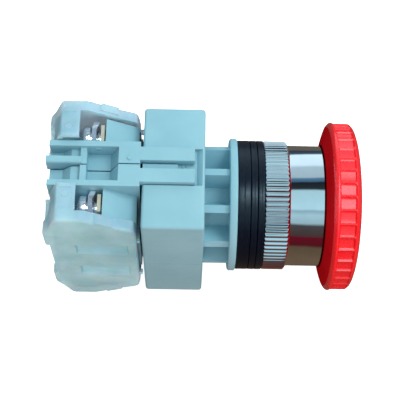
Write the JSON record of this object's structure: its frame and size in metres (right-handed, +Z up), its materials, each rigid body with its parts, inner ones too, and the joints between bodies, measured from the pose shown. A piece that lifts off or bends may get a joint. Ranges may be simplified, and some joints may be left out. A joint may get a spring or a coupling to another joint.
{
  "type": "emergency stop button",
  "caption": "Panel-mounted emergency stop: red mushroom head that pushes to lock and turns to reset, chromed ring nut, finned neck and contact blocks with translucent terminal covers.",
  "frame": {"origin": "centre of the flange's front face, which is the panel seat", "axes": "+X along the push axis from the panel to the operator's side, +Y to the left seen from the operator's side with +Z up, +Z towards the upper terminals"},
  "size_m": [0.0721, 0.04, 0.0454],
  "materials": {
    "body_plastic": "fine satin moulding, pale cyan-grey",
    "cover_plastic": "milky translucent moulding",
    "red_plastic": "glossy red moulding",
    "chrome": "polished plate",
    "black_rubber": "smooth, slight sheen",
    "black_plastic": "satin moulding",
    "zinc_steel": "bright zinc plate",
    "spring_steel": "drawn wire",
    "brass": "pale, matt"
  },
  "bodies": {
    "operator": {"operator_body": "body_plastic", "panel_gasket": "black_rubber", "spacer_ring": "black_rubber", "latch_ring": "black_plastic", "return_spring": "spring_steel", "nc_block_housing": "body_plastic", "nc_block_base": "black_plastic", "nc_terminal_cover": "cover_plastic", "nc_plunger_spring": "spring_steel", "nc_upper_contact": "brass", "nc_lower_contact": "brass", "no_block_housing": "body_plastic", "no_block_base": "black_plastic", "no_terminal_cover": "cover_plastic", "no_plunger_spring": "spring_steel", "no_upper_contact": "brass", "no_lower_contact": "brass"},
    "thrust": {"thrust_ring": "black_rubber"},
    "bezel": {"bezel_nut": "chrome"},
    "pusher": {"push_plate": "black_plastic"},
    "head": {"mushroom_head": "red_plastic", "stem": "brass", "stem_seal": "black_rubber", "retaining_clip": "zinc_steel", "detent_spring": "spring_steel"},
    "left_pin": {"detent_pin_left": "zinc_steel"},
    "right_pin": {"detent_pin_right": "zinc_steel"},
    "nc_carrier": {"nc_plunger": "black_plastic", "nc_bridge": "brass"},
    "nc_upper_clamp": {"nc_upper_clamp": "zinc_steel"},
    "nc_upper_screw": {"nc_upper_screw": "zinc_steel"},
    "nc_lower_clamp": {"nc_lower_clamp": "zinc_steel"},
    "nc_lower_screw": {"nc_lower_screw": "zinc_steel"},
    "no_carrier": {"no_plunger": "black_plastic", "no_bridge": "brass"},
    "no_upper_clamp": {"no_upper_clamp": "zinc_steel"},
    "no_upper_screw": {"no_upper_screw": "zinc_steel"},
    "no_lower_clamp": {"no_lower_clamp": "zinc_steel"},
    "no_lower_screw": {"no_lower_screw": "zinc_steel"}
  },
  "joints": [
    {"name": "push_slide", "type": "slide", "parent": "operator", "child": "pusher", "axis": [-1, 0, 0], "range_m": [0, 0.0045], "stiffness_N_per_m": 1500, "springref_m": -0.004, "deforming": ["return_spring"]},
    {"name": "reset_turn", "type": "hinge", "parent": "pusher", "child": "head", "pos_m": [0, 0, 0], "axis": [-1, 0, 0], "range_deg": [0, 45], "stiffness_Nm_per_rad": 0.08, "springref_deg": -11.46},
    {"name": "left_pin_slide", "type": "slide", "parent": "head", "child": "left_pin", "axis": [0, -1, 0], "range_m": [0, 0.0006], "stiffness_N_per_m": 400, "springref_m": -0.001, "deforming": ["detent_spring"]},
    {"name": "right_pin_slide", "type": "slide", "parent": "head", "child": "right_pin", "axis": [0, 1, 0], "range_m": [0, 0.0006], "stiffness_N_per_m": 400, "springref_m": -0.001},
    {"name": "thrust_slide", "type": "slide", "parent": "operator", "child": "thrust", "axis": [1, 0, 0], "range_m": [0, 0.00151]},
    {"name": "bezel_turn", "type": "hinge", "parent": "thrust", "child": "bezel", "pos_m": [0, 0, 0], "axis": [1, 0, 0], "range_deg": [0, 360]},
    {"name": "nc_carrier_slide", "type": "slide", "parent": "operator", "child": "nc_carrier", "axis": [-1, 0, 0], "range_m": [0, 0.0045], "deforming": ["nc_plunger_spring"]},
    {"name": "nc_upper_clamp_slide", "type": "slide", "parent": "operator", "child": "nc_upper_clamp", "axis": [-1, 0, 0], "range_m": [0, 0.0012]},
    {"name": "nc_upper_screw_turn", "type": "hinge", "parent": "nc_upper_clamp", "child": "nc_upper_screw", "pos_m": [-0.034, -0.00865, 0.0152], "axis": [-1, 0, 0], "range_deg": [0, 726]},
    {"name": "nc_lower_clamp_slide", "type": "slide", "parent": "operator", "child": "nc_lower_clamp", "axis": [-1, 0, 0], "range_m": [0, 0.0012]},
    {"name": "nc_lower_screw_turn", "type": "hinge", "parent": "nc_lower_clamp", "child": "nc_lower_screw", "pos_m": [-0.034, -0.00865, -0.0152], "axis": [-1, 0, 0], "range_deg": [0, 726]},
    {"name": "no_carrier_slide", "type": "slide", "parent": "operator", "child": "no_carrier", "axis": [-1, 0, 0], "range_m": [0, 0.0045], "deforming": ["no_plunger_spring"]},
    {"name": "no_upper_clamp_slide", "type": "slide", "parent": "operator", "child": "no_upper_clamp", "axis": [-1, 0, 0], "range_m": [0, 0.0012]},
    {"name": "no_upper_screw_turn", "type": "hinge", "parent": "no_upper_clamp", "child": "no_upper_screw", "pos_m": [-0.034, 0.00865, 0.0152], "axis": [-1, 0, 0], "range_deg": [0, 726]},
    {"name": "no_lower_clamp_slide", "type": "slide", "parent": "operator", "child": "no_lower_clamp", "axis": [-1, 0, 0], "range_m": [0, 0.0012]},
    {"name": "no_lower_screw_turn", "type": "hinge", "parent": "no_lower_clamp", "child": "no_lower_screw", "pos_m": [-0.034, 0.00865, -0.0152], "axis": [-1, 0, 0], "range_deg": [0, 726]}
  ],
  "couplings": [
    {"joint": "thrust_slide", "follows": "bezel_turn", "m_per_rad": 0.00023873},
    {"joint": "nc_carrier_slide", "follows": "push_slide", "ratio": 1},
    {"joint": "nc_upper_screw_turn", "follows": "nc_upper_clamp_slide", "rad_per_m": 10472},
    {"joint": "nc_lower_screw_turn", "follows": "nc_lower_clamp_slide", "rad_per_m": 10472},
    {"joint": "no_carrier_slide", "follows": "push_slide", "ratio": 1},
    {"joint": "no_upper_screw_turn", "follows": "no_upper_clamp_slide", "rad_per_m": 10472},
    {"joint": "no_lower_screw_turn", "follows": "no_lower_clamp_slide", "rad_per_m": 10472}
  ]
}
